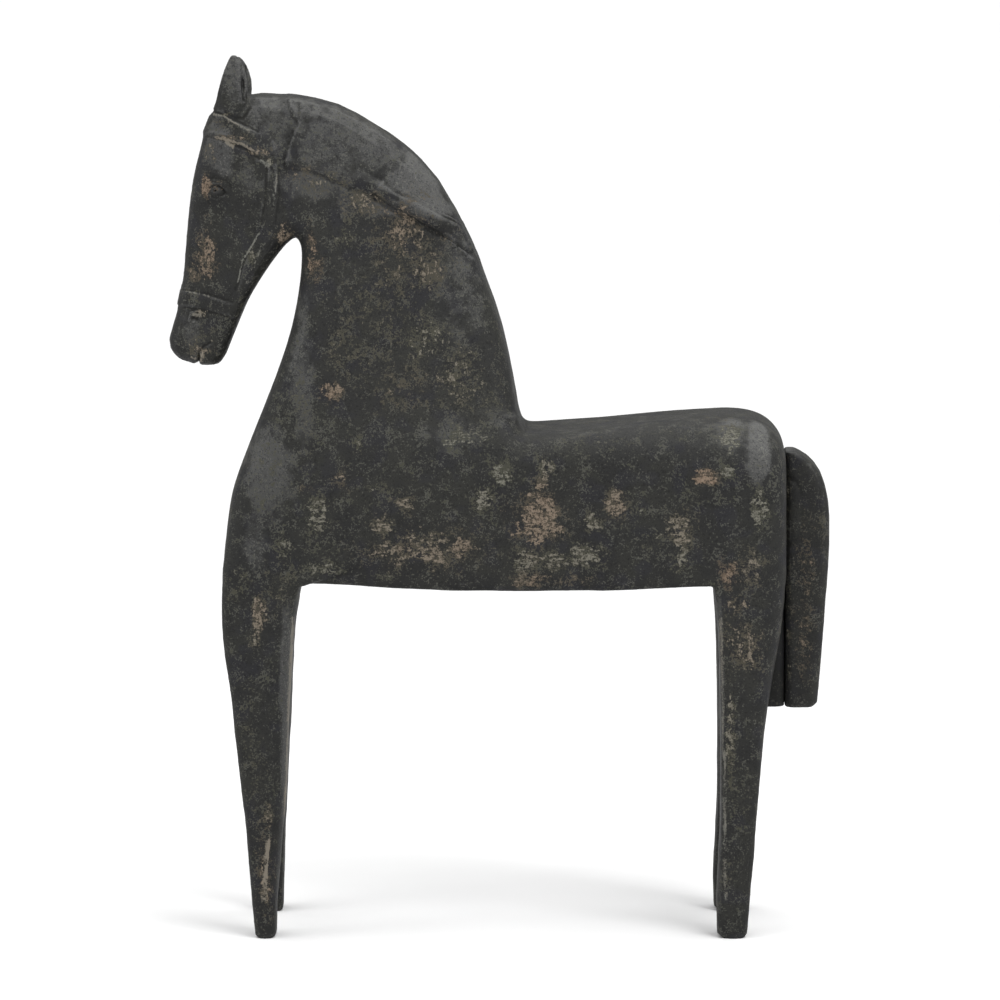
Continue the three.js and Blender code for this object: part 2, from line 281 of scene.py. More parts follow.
def grown(mesh, out):
    """Moves every point along its normal."""
    set_points(mesh, points_of(mesh) + normals_of(mesh) * out[:, None])


def thinned(mesh, most):
    """A mesh with no more than so many triangles, the fewest where it is flat, in place of a dense one."""
    work = bpy.data.objects.new("work", mesh)
    bpy.context.scene.collection.objects.link(work)
    thin = work.modifiers.new("thin", "DECIMATE")
    thin.ratio = min(1, most / sum(len(polygon.vertices) - 2 for polygon in mesh.polygons))
    depsgraph = bpy.context.evaluated_depsgraph_get()
    fewer = bpy.data.meshes.new_from_object(work.evaluated_get(depsgraph))
    bpy.data.objects.remove(work)
    bpy.data.meshes.remove(mesh)
    return fewer


def too_long(edge, longest):
    """Whether an edge is longer than it may be, which is more off the sides."""
    on_side = abs(edge.verts[0].normal.y) > SIDE_FACING
    return edge.calc_length() > longest * (1 if on_side else LONGER_ELSEWHERE)


def evened(mesh, longest):
    """Splits long edges in two, so that flat places have points to hold their wear."""
    bm = bmesh.new()
    bm.from_mesh(mesh)
    for _ in range(EVENING_ROUNDS):
        bmesh.ops.triangulate(bm, faces=[face for face in bm.faces if len(face.verts) > 3])
        edges = [edge for edge in bm.edges if too_long(edge, longest)]
        bmesh.ops.subdivide_edges(bm, edges=edges, cuts=1, use_grid_fill=True)
    bm.to_mesh(mesh)
    bm.free()


BEND_ROUNDS = 3  # of smoothing


def bend(mesh):
    """How sharply the skin turns outwards at each point, per metre, or inwards if below zero."""
    points = points_of(mesh)
    normals = normals_of(mesh)
    ends = edge_ends(mesh)
    a, b = ends
    step = points[b] - points[a]
    square = np.maximum((step * step).sum(1), TINY)
    from_a = -2 * (step * normals[a]).sum(1) / square
    from_b = 2 * (step * normals[b]).sum(1) / square
    count = len(points)
    degree = np.maximum(np.bincount(ends.ravel(), minlength=count), 1)
    turn = (np.bincount(a, from_a, count) + np.bincount(b, from_b, count)) / degree
    for _ in range(BEND_ROUNDS):
        turn = (turn + neighbour_mean(turn, ends)) / 2
    return turn


# Carved details. A cut follows a path of pixels on a plane. It is as wide as said to either side, and
# stands out of the wood as said, or lies in it if below zero, both in millimetres. Where it wraps, it
# runs on over the edge of the outline.

Cut = namedtuple("Cut", "path plane width out wraps", defaults=(False,))

CUTS = {
    "groove above the rolled mane": Cut(
        [(386, 183.5), (397, 191), (415, 200), (430, 208), (449, 218), (460, 223)], MANE_SIDE, 2.0, -1.6,
    ),
    "start of the groove": Cut([(364, 170), (380, 180)], MANE_SIDE, 2.6, -0.8),
    "crown of the rolled mane": Cut(
        [(382, 190), (397, 201), (415, 210), (430, 219), (446, 230)], MANE_SIDE, 6.0, 1.2,
    ),
    "undercut below the rolled mane": Cut(
        [(374, 197), (388, 207), (409, 218), (430, 229.5), (451, 242), (466, 250.5), (480, 258)],
        MANE_SIDE, 2.4, -2.6,
    ),
    "lower edge of the mane": Cut(
        [(284, 165), (299, 168), (312, 172), (334, 181), (350, 188), (366, 194), (374, 197)],
        MANE_SIDE, 2.8, -1.0,
    ),
    "leading edge of the mane": Cut(
        [(297, 97), (299, 112), (296.5, 123), (292, 134), (286.5, 150), (283, 164)], MANE_SIDE, 1.8, -0.5,
    ),
    "second lock of the mane": Cut(
        [(286.5, 95), (285.5, 112), (281, 128), (276.5, 143)], MANE_SIDE, 2.0, -0.35, True,
    ),
    "upper edge of the browband": Cut(
        [(210, 110), (224, 115), (238, 121), (258, 131)], HEAD_SIDE, 1.2, -0.8, True,
    ),
    "lower edge of the browband": Cut(
        [(208, 137), (230, 143), (246, 149), (260, 158), (272, 168)], HEAD_SIDE, 1.3, -0.8, True,
    ),
    "lip of the browband": Cut([(210, 132), (230, 137), (247, 143), (264, 154)], HEAD_SIDE, 2.0, 0.9),
    "front edge of the cheek strap": Cut(
        [(267, 168), (266, 200), (260, 230), (252, 246), (244, 262), (236, 289)], HEAD_SIDE, 1.3, -0.6,
    ),
    "back edge of the cheek strap": Cut(
        [(279, 166), (279, 196), (275, 232), (268, 252), (256, 276), (249, 292)], HEAD_SIDE, 1.3, -0.4,
    ),
    "upper edge of the noseband": Cut(
        [(176, 290), (192, 292), (208, 295), (232, 302)], HEAD_SIDE, 1.2, -0.7, True,
    ),
    "lower edge of the noseband": Cut(
        [(174, 308), (194, 310), (212, 313), (230, 318)], HEAD_SIDE, 1.2, -0.7, True,
    ),
    "brow over the eye": Cut([(204, 175), (214, 172.5), (228, 175), (237, 183)], HEAD_SIDE, 3.0, 0.7),
    "crease of the upper lid": Cut([(206, 180), (214, 178), (226, 180), (232, 187)], HEAD_SIDE, 1.2, -0.4),
    "upper lid": Cut([(207.5, 187), (213, 183.5), (221, 184), (227.5, 191)], HEAD_SIDE, 1.2, 0.6),
    "slit under the upper lid": Cut(
        [(208, 189.5), (213, 186.5), (220, 187), (226, 193)], HEAD_SIDE, 0.8, -0.5,
    ),
    "lower lid": Cut([(207.5, 192), (211, 198), (217, 200), (225, 196)], HEAD_SIDE, 1.2, 0.5),
    "gap before the eye": Cut([(205, 182), (205.5, 194), (209, 204)], HEAD_SIDE, 1.5, -0.4),
    "cheekbone before the eye": Cut([(202, 176), (201, 188), (202, 202)], HEAD_SIDE, 2.0, 0.5),
    "pupil": Cut([(214.4, 190.5), (215.0, 190.5)], HEAD_SIDE, 1.2, -2.2),
    "line of the cheek": Cut([(246, 178), (252, 205), (246, 236), (234, 262)], HEAD_SIDE, 6.0, 0.9),
    "hollow beside the nose": Cut([(222, 215), (219, 245), (216, 276)], HEAD_SIDE, 7.0, -1.1),
    "mouth": Cut([(197, 363), (198, 353), (203, 347), (210, 343)], HEAD_SIDE, 1.1, -1.1),
    "slit between the lips": Cut([(196.5, 366), (197.5, 357)], HEAD_SIDE, 1.4, -2.6, True),
    "rim of the nostril": Cut([(188, 322), (190, 314), (198, 311.5), (204, 317)], HEAD_SIDE, 1.1, 1.0),
    "nostril": Cut([(192, 320), (198, 318)], HEAD_SIDE, 1.5, -1.6),
    "slit of the ear": Cut([(242, 66), (242.5, 78), (243, 90), (244, 101)], HEAD_SIDE, 1.0, -1.6),
    "back lip of the ear": Cut([(246, 68), (247.5, 80), (247.5, 92)], HEAD_SIDE, 1.1, 0.7),
    "foot of the ear": Cut([(226, 112), (236, 118), (243, 118), (250, 108)], HEAD_SIDE, 1.7, -1.1),
    "ledge at the withers": Cut([(478, 417), (497, 416), (516, 421)], FLANK, 3.5, 0.9),
}
EYE = side_view(216, 190, HEAD_SIDE)
TAIL_CUTS = {
    "arch beside the seam": Cut(
        [(786, 478), (796, 482), (801, 492), (802, 520), (799, 538), (788, 547)], TAIL_SIDE, 2.0, -0.7,
    ),
}


CUT_FACING = (0.1, 0.4)  # a cut fades in over this share of the normal along Y
CUT_REACH = 3  # a cut is worked out to this many widths from its path


def path_of(line):
    return np.array([side_view(*pixel, line.plane) for pixel in line.path])


def carved(mesh, cuts):
    """Cuts the lines into both sides of a mesh."""
    places = points_of(mesh)[:, [0, 2]]
    facing = smoothstep(*CUT_FACING, np.abs(normals_of(mesh)[:, 1]))
    out = np.zeros(len(places))
    for cut in cuts.values():
        path = path_of(cut)
        width = cut.width * MM
        reach = CUT_REACH * width
        near = ((places > path.min(0) - reach) & (places < path.max(0) + reach)).all(1)
        close = np.flatnonzero(near)
        off = near_line(places[close], path) / width
        share = 1 if cut.wraps else facing[close]
        out[close] += share * cut.out * MM * np.exp(-off * off)
    grown(mesh, out)


def near_cuts(mesh, cuts, reach):
    """Which points lie close to a carved line."""
    places = points_of(mesh)[:, [0, 2]]
    close = np.zeros(len(places), bool)
    for cut in cuts.values():
        path = path_of(cut)
        inside = ((places > path.min(0) - reach) & (places < path.max(0) + reach)).all(1)
        around = np.flatnonzero(inside)
        close[around] |= near_line(places[around], path) < reach
    return close


# The unevenness that hand tools leave: how broad its lumps are, how deep they are in millimetres, and how
# much of it the head is spared and the tail has
SLOW_LUMPS = 45 * MM
SLOW_DEPTH = 1.2
QUICK_LUMPS = 15 * MM
QUICK_DEPTH = 0.5
HEAD_SPARED = 0.6
TAIL_UNEVEN = 0.7


def hand_cut(mesh, share):
    """Adds the slight unevenness that hand tools leave on wood."""
    points = points_of(mesh)
    slow = lumps(points, SLOW_LUMPS, seed=11) - 0.5
    quick = lumps(points, QUICK_LUMPS, seed=12) - 0.5
    grown(mesh, (slow * SLOW_DEPTH + quick * QUICK_DEPTH) * MM * share)


# How far the near front leg's inner rear edge lies behind its outer one, in millimetres, by the height
# above the ground.
REAR_STEP = {36: 0.5, 71: 1.9, 123: 4.0, 209: 4.0, 261: 4.6, 292: 3.0, 308: 0.0}
REAR_STEP_SPAN = 14 * MM  # from where it starts to the rear edge
REAR_STEP_OUTER = -0.078
REAR_STEP_FULL = -0.062
FRONT_LEG_BACK = -0.165  # behind it the belly begins
HEIGHT_STEP = 5 * MM


def step_back_rear_edge(mesh):
    """Slants the rear face of the near front leg, so that it shows from the side."""
    points = points_of(mesh)
    x, y, z = points.T
    leg = np.flatnonzero((x < FRONT_LEG_BACK) & (y < 0) & (z < max(REAR_STEP) * MM))
    level = (z[leg] / HEIGHT_STEP).astype(int)
    rear = np.full(level.max() + 1, -np.inf)
    np.maximum.at(rear, level, x[leg])
    step = np.interp(z[leg] / MM, list(REAR_STEP), list(REAR_STEP.values())) * MM
    step *= smoothstep(-REAR_STEP_SPAN, 0, x[leg] - rear[level])
    step *= smoothstep(REAR_STEP_OUTER, REAR_STEP_FULL, y[leg])
    points[leg, 0] += step
    set_points(mesh, points)


# Wear. A patch is an ellipse about a pixel, with half its width and height. In it the paint is off by a
# share from 0 to 1, and the wood is warm from 0, olive grey, to 1, orange brown.

Patch = namedtuple("Patch", "across down half_width half_height bare warm")

WORN = {
    "browband, upper edge": Patch(226, 117, 12, 1.6, 0.70, 0.25),
    "browband, middle": Patch(222, 126, 9, 6, 0.40, 0.40),
    "browband, lip": Patch(232, 140, 18, 3.5, 0.75, 0.50),
    "browband, bright spot": Patch(230, 147, 4, 4, 1.00, 0.35),
    "browband, back": Patch(255, 154, 13, 4.5, 0.75, 0.45),
    "browband, end": Patch(267, 164, 5, 4, 0.95, 0.10),
    "forehead": Patch(207, 162, 6, 14, 0.60, 0.30),
    "temple": Patch(240, 176, 7, 10, 0.45, 0.05),
    "nose side of the eye": Patch(203, 187, 5, 14, 0.90, 0.75),
    "eyeball": Patch(214, 191, 6, 6, 0.70, 0.80),
    "upper lid": Patch(215, 185, 8, 3, 0.60, 0.50),
    "nose": Patch(201, 256, 12, 24, 0.88, 0.65),
    "nose, low": Patch(191, 281, 6, 7, 0.70, 0.55),
    "noseband": Patch(192, 299, 14, 7, 0.50, 0.15),
    "nostril": Patch(196, 319, 6, 4.5, 0.95, 0.30),
    "lips": Patch(196, 357, 12, 6, 0.74, 0.45),
    "lips, front": Patch(187, 348, 8, 8, 0.50, 0.25),
    "chin": Patch(206, 340, 9, 10, 0.40, 0.20),
    "cheek strap, front edge": Patch(249, 262, 4, 16, 0.60, 0.10),
    "jaw, front": Patch(240, 318, 8, 22, 0.30, 0.10),
    "jaw": Patch(281, 238, 9, 9, 0.92, 0.60),
    "throat": Patch(311, 258, 9, 22, 0.86, 0.75),
    "behind the ear": Patch(298, 176, 14, 9, 0.45, 0.60),
    "under the mane, front": Patch(318, 186, 26, 12, 0.60, 0.25),
    "under the mane, middle": Patch(365, 206, 24, 12, 0.72, 0.35),
    "neck, brown": Patch(400, 228, 17, 26, 0.90, 0.60),
    "under the mane, back": Patch(405, 246, 34, 42, 0.60, 0.45),
    "neck, high": Patch(424, 272, 20, 32, 0.60, 0.30),
    "neck, front of the middle": Patch(343, 240, 12, 14, 0.48, 0.10),
    "neck, pink spot": Patch(330, 391, 12, 11, 0.92, 0.70),
    "neck, above the pink spot": Patch(340, 352, 20, 30, 0.38, 0.25),
    "neck, flakes": Patch(428, 341, 22, 24, 0.66, 0.12),
    "neck, low flakes": Patch(460, 382, 28, 30, 0.66, 0.20),
    "neck, middle": Patch(375, 320, 42, 60, 0.40, 0.20),
    "neck, low": Patch(405, 388, 34, 20, 0.48, 0.40),
    "neck, front edge": Patch(300, 410, 12, 40, 0.36, 0.10),
    "withers": Patch(497, 405, 14, 14, 0.45, 0.05),
    "chest, front": Patch(268, 480, 22, 38, 0.42, 0.05),
    "chest, pink streak": Patch(306, 490, 8, 4, 0.60, 0.60),
    "chest, back": Patch(318, 514, 13, 19, 0.90, 0.08),
    "chest, olive spot": Patch(355, 446, 12, 10, 0.58, 0.10),
    "chest, orange spot": Patch(342, 480, 9, 9, 0.85, 0.50),
    "chest, low": Patch(285, 549, 9, 15, 0.78, 0.05),
    "elbow": Patch(319, 569, 22, 6, 0.90, 0.05),
    "elbow, front": Patch(292, 575, 9, 10, 0.62, 0.10),
    "barrel, pale streaks": Patch(381, 488, 16, 5, 0.52, 0.10),
    "barrel, small spot": Patch(405, 503, 10, 8, 0.98, 0.35),
    "barrel, front flakes": Patch(384, 527, 13, 11, 0.92, 0.30),
    "barrel, front streaks": Patch(396, 552, 28, 12, 0.82, 0.40),
    "barrel, pink spot": Patch(406, 547, 7, 6, 0.98, 0.75),
    "barrel, tan streaks": Patch(432, 556, 24, 10, 0.94, 0.50),
    "barrel, brown patch": Patch(460, 548, 10, 14, 1.10, 0.66),
    "barrel, wide streaks": Patch(430, 550, 54, 21, 0.70, 0.35),
    "barrel, olive flakes": Patch(484, 500, 14, 11, 0.92, 0.08),
    "barrel, olive flakes above": Patch(504, 475, 13, 16, 1.00, 0.02),
    "big patch, tip": Patch(544, 468, 9, 13, 0.88, 0.15),
    "big patch, top": Patch(540, 484, 8, 9, 1.00, 0.55),
    "big patch": Patch(538, 520, 24, 25, 1.15, 0.62),
    "big patch, right": Patch(555, 532, 11, 13, 1.00, 0.55),
    "big patch, below": Patch(524, 562, 16, 15, 0.90, 0.12),
    "big patch, below right": Patch(560, 560, 20, 13, 0.84, 0.15),
    "belly, brown": Patch(532, 580, 19, 8, 0.86, 0.65),
    "belly, brown right": Patch(576, 579, 15, 6, 0.70, 0.45),
    "tan patch": Patch(615, 508, 11, 11, 1.10, 0.50),
    "tan patch, top": Patch(616, 492, 7, 6, 0.84, 0.40),
    "tan patch, left": Patch(592, 522, 10, 12, 0.95, 0.15),
    "barrel, grey flakes": Patch(640, 510, 8, 8, 0.95, 0.02),
    "barrel, low": Patch(586, 554, 22, 16, 0.82, 0.10),
    "barrel, right": Patch(655, 540, 12, 14, 0.44, 0.08),
    "orange spot": Patch(706, 477, 10, 7, 1.60, 0.80),
    "grey spot": Patch(728, 472, 9, 7, 1.00, 0.02),
    "flank flakes": Patch(682, 529, 14, 16, 0.98, 0.30),
    "flank, low": Patch(681, 560, 9, 11, 0.92, 0.10),
    "belly, front": Patch(389, 577, 20, 4, 0.62, 0.05),
    "back, front": Patch(467, 436, 26, 17, 0.72, 0.02),
    "back, middle": Patch(600, 440, 44, 14, 0.34, 0.05),
    "croup": Patch(662, 428, 32, 12, 0.42, 0.02),
    "rump": Patch(733, 436, 15, 17, 0.95, 0.02),
    "hip": Patch(759, 508, 9, 26, 0.90, 0.05),
    "thigh, orange": Patch(730, 575, 11, 14, 0.96, 0.80),
    "thigh, back": Patch(750, 570, 14, 24, 0.72, 0.30),
    "thigh, low": Patch(740, 603, 12, 7, 0.80, 0.45),
    "front leg, tan": Patch(259, 612, 6, 18, 1.10, 0.45),
    "front leg, grey pink": Patch(255, 640, 6, 10, 0.84, 0.25),
    "front leg, shoulder": Patch(240, 585, 15, 16, 0.44, 0.10),
    "front leg, top": Patch(280, 590, 14, 24, 0.50, 0.20),
    "front leg, middle": Patch(246, 730, 9, 44, 0.30, 0.10),
    "front leg, knee": Patch(257, 780, 8, 34, 0.34, 0.15),
    "front leg, small spot": Patch(269, 814, 4, 9, 0.74, 0.35),
    "front leg, streak": Patch(266, 872, 7, 38, 0.66, 0.60),
    "front leg, foot": Patch(262, 906, 6, 8, 0.50, 0.15),
    "hind leg, top": Patch(744, 650, 18, 24, 0.74, 0.40),
    "hind leg, front": Patch(732, 640, 9, 26, 0.50, 0.35),
    "hind leg, streak": Patch(731, 740, 5, 56, 0.84, 0.15),
    "hind leg, middle": Patch(742, 800, 11, 34, 0.34, 0.10),
    "hind leg, low": Patch(727, 870, 6, 16, 0.48, 0.20),
}
TAIL_WORN = {
    "middle": Patch(806, 560, 9, 44, 0.44, 0.60),
    "low": Patch(804, 640, 10, 44, 0.44, 0.60),
    "top": Patch(800, 470, 10, 14, 0.20, 0.25),
    "seam, high": Patch(788, 490, 3, 30, 0.60, 0.15),
    "seam, low": Patch(789, 630, 3, 60, 0.50, 0.20),
    "back": Patch(816, 520, 8, 24, 0.26, 0.25),
}
# Where the paint is rubbed grey, and where grey is painted as a highlight where light falls. The hip,
# around the hip, the crest, the croup, the withers, the chest, the low chest, and the front and the right
# of the neck are painted highlights; the mane, its front and the rolled mane are rubbed paint with painted
# highlight; the others are rubbed paint. The share is how strongly.
RUBBED_AND_PAINTED_SHEEN = {
    "mane": Patch(350, 136, 84, 60, 0.60, 0),
    "mane, front": Patch(312, 132, 34, 44, 0.50, 0),
    "mane, speckle": Patch(405, 184, 20, 13, 1.10, 0),
    "crest": Patch(425, 165, 26, 56, 0.85, 0),
    "rolled mane": Patch(415, 211, 56, 10, 0.90, 0),
    "under the mane": Patch(312, 188, 34, 15, 0.75, 0),
    "under the mane, back": Patch(352, 205, 26, 12, 0.50, 0),
    "ear": Patch(236, 82, 14, 30, 0.60, 0),
    "poll": Patch(270, 118, 24, 24, 0.65, 0),
    "forehead": Patch(217, 154, 13, 28, 1.15, 0),
    "temple": Patch(244, 180, 10, 18, 0.60, 0),
    "muzzle": Patch(186, 335, 9, 22, 0.60, 0),
    # The hip and around it: painted highlight where light falls on the rounded corner of the rump
    "hip": Patch(759, 452, 11, 32, 1.30, 0),
    "hip, around": Patch(745, 440, 34, 22, 0.45, 0),
    "croup": Patch(680, 426, 76, 14, 0.25, 0),
    "rump, flakes": Patch(733, 436, 16, 18, 0.80, 0),
    "withers": Patch(505, 422, 28, 8, 0.40, 0),
    "shoulder": Patch(460, 436, 34, 20, 0.55, 0),
    "chest": Patch(268, 476, 24, 44, 0.90, 0),
    "chest, low": Patch(254, 540, 13, 34, 0.60, 0),
    "neck, right": Patch(455, 300, 30, 60, 0.45, 0),
    "neck, front": Patch(302, 380, 12, 80, 0.60, 0),
    "front leg, rear edge": Patch(287, 725, 6, 120, 1.10, 0),
    "hind leg, front edge": Patch(719, 740, 4, 150, 0.80, 0),
}

# Pale worn edges: a path of pixels on a plane, how far it reaches to each side in millimetres, and how
# bare and warm it is.
Line = namedtuple("Line", "path plane width bare warm")

PALE_LINES = {
    "browband, upper edge": Line(
        [(213, 114), (223, 115.5), (234, 122), (249, 130)], HEAD_SIDE, 1.0, 0.9, 0.1,
    ),
    "browband, lower edge": Line(
        [(216, 137), (229, 140), (243, 144), (256, 151)], HEAD_SIDE, 1.7, 0.9, 0.4,
    ),
    "browband, bright spot": Line([(226, 142), (233, 146)], HEAD_SIDE, 1.8, 1.0, 0.3),
    "browband, end": Line([(262, 160), (269, 165)], HEAD_SIDE, 2.0, 0.9, 0.0),
    "cheek strap": Line([(260, 232), (254, 242), (243, 260), (238, 282)], HEAD_SIDE, 0.9, 1.0, 0.0),
    "cheek strap, top": Line([(277.5, 172), (276, 190), (271, 206)], HEAD_SIDE, 1.3, 0.65, 0.0),
    "jaw": Line([(262, 246), (254, 266), (247, 284)], HEAD_SIDE, 1.1, 0.65, 0.2),
    "noseband": Line([(182, 292), (196, 294), (208, 297)], HEAD_SIDE, 0.9, 0.65, 0.0),
    "nostril": Line([(193, 315.5), (199, 317)], HEAD_SIDE, 2.0, 1.1, 0.2),
    "lips": Line([(200, 362), (201.5, 354)], HEAD_SIDE, 1.7, 1.0, 0.4),
    "lips, front": Line([(190, 358), (195, 360)], HEAD_SIDE, 1.6, 0.8, 0.3),
    "front leg, streak": Line([(268, 840), (266, 868), (264.5, 900)], FLANK, 1.9, 1.2, 0.35),
    "front leg, rear edge": Line(
        [(292, 620), (289.5, 680), (287, 760), (284, 840), (281, 890)], FLANK, 2.2, 0.80, 0.0,
    ),
    "hind leg, front edge": Line(
        [(721, 620), (723, 700), (725, 800), (725, 900)], FLANK, 2.0, 0.62, 0.1,
    ),
    # Painted highlight: a pale line along the rounded corner of the hip, where light falls
    "hip": Line([(761, 436), (763, 460)], FLANK, 3.0, 0.45, 0.0),
}

FAR_SIDE_SHIFT = np.array([0.021, -0.013])
SIDES_MEET = (-12 * MM, 12 * MM)  # where the near side's patches give way to the far side's
LINES_END = (-2 * MM, -12 * MM)  # where the near side's pale edges begin, and where they are full

# A patch ends at the first of these and is full from the second, as shares of its half width
PATCH_FADE = (1.6, 0.4)
# Its outline is made ragged by coarse and fine lumps
RAGGED_COARSE = 11 * MM
RAGGED_FINE = 4.5 * MM
RAGGED_FINE_SHARE = 0.7
FAINT = 1e-6  # where the weights of the warmth start, so that its mean divides by no zero


def patch_share(places, patch, plane, ragged):
    """1 inside a patch and 0 outside it."""
    middle = side_view(patch.across, patch.down, plane)
    corner = side_view(patch.across + patch.half_width, patch.down - patch.half_height, plane)
    off = np.linalg.norm((places - middle) / (corner - middle), axis=1)
    return smoothstep(*PATCH_FADE, off + ragged)


def patch_field(places, patches, plane, rough):
    """How bare, and how warm, each place in the side view is. Rough is how ragged the patches are."""
    spread = np.insert(places, 1, 0, 1)
    coarse = (lumps(spread, RAGGED_COARSE, seed=3) - 0.5) * rough
    fine = (lumps(spread, RAGGED_FINE, seed=4) - 0.5) * rough * RAGGED_FINE_SHARE
    ragged = coarse + fine
    strongest = np.zeros(len(places))
    mean = np.zeros(len(places))
    weights = np.full(len(places), FAINT)
    for patch in patches.values():
        here = patch.bare * patch_share(places, patch, plane, ragged)
        strongest = np.maximum(strongest, here)
        mean += here * patch.warm
        weights += here
    return strongest, mean / weights


def both_sides(points, patches, plane, rough):
    """The patches on the near side, and on the far side the same ones a little shifted."""
    places = points[:, [0, 2]]
    near, near_warm = patch_field(places, patches, plane, rough)
    far, far_warm = patch_field(places + FAR_SIDE_SHIFT, patches, plane, rough)
    side = smoothstep(*SIDES_MEET, points[:, 1])
    return near + (far - near) * side, near_warm + (far_warm - near_warm) * side


def line_field(points, lines):
    """How pale, and how warm, the worn edges of the near side are."""
    places = points[:, [0, 2]]
    near_side = smoothstep(*LINES_END, points[:, 1])
    pale = np.zeros(len(places))
    warm = np.zeros(len(places))
    for line in lines.values():
        off = near_line(places, path_of(line)) / (line.width * MM)
        here = line.bare * np.exp(-off * off) * near_side
        warm = np.where(here > pale, line.warm, warm)
        pale = np.maximum(pale, here)
    return pale, warm


def on_block(points):
    """1 on the block between the thighs, which is unworn and gets painted shade, and 0 elsewhere."""
    x, y, z = points.T
    inner = smoothstep(BLOCK_SIDE + BLOCK_DARK_FADE, BLOCK_SIDE, np.abs(y))
    return inner * ((x > BLOCK_FRONT) & (x < RUMP_BACK + BLOCK_MARGIN) & (z < BLOCK_HIGH))


def store(mesh, name, values):
    field = mesh.attributes.new(name, "FLOAT", "POINT")
    field.data.foreach_set("value", values.astype(np.float32))


# The bend, per metre, from which a place counts as an edge or as a hollow that gets painted shade, and
# from which it fully does
EDGE_BEND = (35, 130)
SUNK_BEND = (-25, -120)


def bend_fields(mesh):
    """Stores on the mesh how edged each point is, and how much painted shade it gets in hollows and on the
    block between the thighs.
    """
    turn = bend(mesh)
    hidden = on_block(points_of(mesh))
    store(mesh, "edge", smoothstep(*EDGE_BEND, turn) * (1 - hidden))
    # Painted shade: hollows and the block between the thighs are marked to be painted dark
    store(mesh, "sunk", np.maximum(smoothstep(*SUNK_BEND, turn), hidden))


# How ragged the worn patches are, and the patches of rubbed paint and painted highlight
WORN_ROUGH = 0.6
RUBBED_AND_SHEEN_ROUGH = 0.4
# Shares of the normal along Y: paint comes off over the first, and rubbed paint and painted highlights
# show over the second
WORN_FACING = (0.2, 0.7)
RUBBED_AND_SHEEN_FACING = (0, 0.35)
OUTER_LEG = (0.045, 0.060)  # how far from the middle the outer side of a leg begins, and is full
# Shares of the normal upwards: painted light from above goes from shade to light over the first, and
# painted sheen lies on faces turned up over the second
LIGHT_FROM_ABOVE_FACING = (-0.6, 0.9)
TOP_FACING = (0.5, 1.0)
TOP_PAINTED_SHEEN = 0.20
# Slight wear all over: the size and share of its lumps, and from where to where they show, and how much
BROAD_LUMPS = 38 * MM
BROAD_SHARE = 0.6
CLOSE_LUMPS = 16 * MM
CLOSE_SHARE = 0.4
ALL_OVER = (0.50, 0.85)
ALL_OVER_MOST = 0.30
# Warmth of the wood off the sides: the least, what lumps add, and their size
WARM_LEAST = 0.1
WARM_ADDED = 0.5
WARM_LUMPS = 24 * MM


def wear_fields(mesh, patches, plane, lines, upright):
    """Stores on the mesh how bare, warm and pale each point is, how much rubbed paint and painted
    highlight it has,
     how much painted light from above it gets, and whether its grain runs upright."""
    points = points_of(mesh)
    normals = normals_of(mesh)
    on_leg = points[:, 2] < LEG_HIGH
    facing = smoothstep(*WORN_FACING, np.abs(normals[:, 1]))
    outer_leg = smoothstep(*OUTER_LEG, np.abs(points[:, 1])) * on_leg
    bare, warm = both_sides(points, patches, plane, WORN_ROUGH)
    rubbed, _ = both_sides(points, RUBBED_AND_PAINTED_SHEEN, plane, RUBBED_AND_SHEEN_ROUGH)
    pale, pale_warm = line_field(points, lines)
    warm += (pale_warm - warm) * np.minimum(1, pale)
    store(mesh, "pale", pale * np.where(on_leg, outer_leg, facing))
    # Painted light and shade: faces turned up are painted lighter and faces turned down darker, as light
    # from above falls
    store(mesh, "dusty", smoothstep(*LIGHT_FROM_ABOVE_FACING, normals[:, 2]))
    broad = lumps(points, BROAD_LUMPS, seed=7) * BROAD_SHARE
    broad += lumps(points, CLOSE_LUMPS, seed=8) * CLOSE_SHARE
    worn_all_over = smoothstep(*ALL_OVER, broad) * ALL_OVER_MOST
    hidden = on_block(points)
    store(mesh, "bare", np.maximum(bare * facing, worn_all_over) * (1 - hidden))
    warm_elsewhere = WARM_LEAST + WARM_ADDED * lumps(points, WARM_LUMPS, seed=9)
    store(mesh, "warm", warm * facing + warm_elsewhere * (1 - facing))
    rubbed *= np.maximum(smoothstep(*RUBBED_AND_SHEEN_FACING, np.abs(normals[:, 1])), outer_leg)
    # Painted sheen on faces turned up, in the same grey as the rubbed paint
    top = TOP_PAINTED_SHEEN * smoothstep(*TOP_FACING, normals[:, 2])
    store(mesh, "rubbed", np.maximum(rubbed, top) * (1 - hidden))
    store(mesh, "upright", upright(points))


# The two pieces

def head_share(points):
    """1 on the head and ears, 0 on the body, with a soft change between."""
    x, _, z = points.T
    return smoothstep(*HEAD_FADE, x - HEAD_BACK) * smoothstep(HEAD_LOW - HEAD_LOW_FADE, HEAD_LOW, z)


def by_region(points, body, fine, legs):
    """A length for every point, from those for the body, for head and mane, and for the legs."""
    z = points[:, 2]
    carving = np.maximum(head_share(points), smoothstep(MANE_LOW, MANE_LOW + MANE_FADE, z))
    above = body + (fine - body) * carving
    return above + (legs - above) * smoothstep(BARREL_LOW, LEG_HIGH, z)


def fairing_cap(points):
    """How far fairing may move each point."""
    x, y, z = points.T
    cap = by_region(points, FAIR_CAP_BODY, FAIR_CAP_FINE, FAIR_CAP_LEGS)
    thigh = smoothstep(THIGH_BACK - THIGH_FADE, THIGH_BACK + THIGH_FADE, x) * smoothstep(*THIGH_RISE, z)
    thigh *= smoothstep(BLOCK_SIDE, BLOCK_SIDE + BLOCK_FADE, np.abs(y))
    return np.maximum(cap, FAIR_CAP_THIGH * thigh)


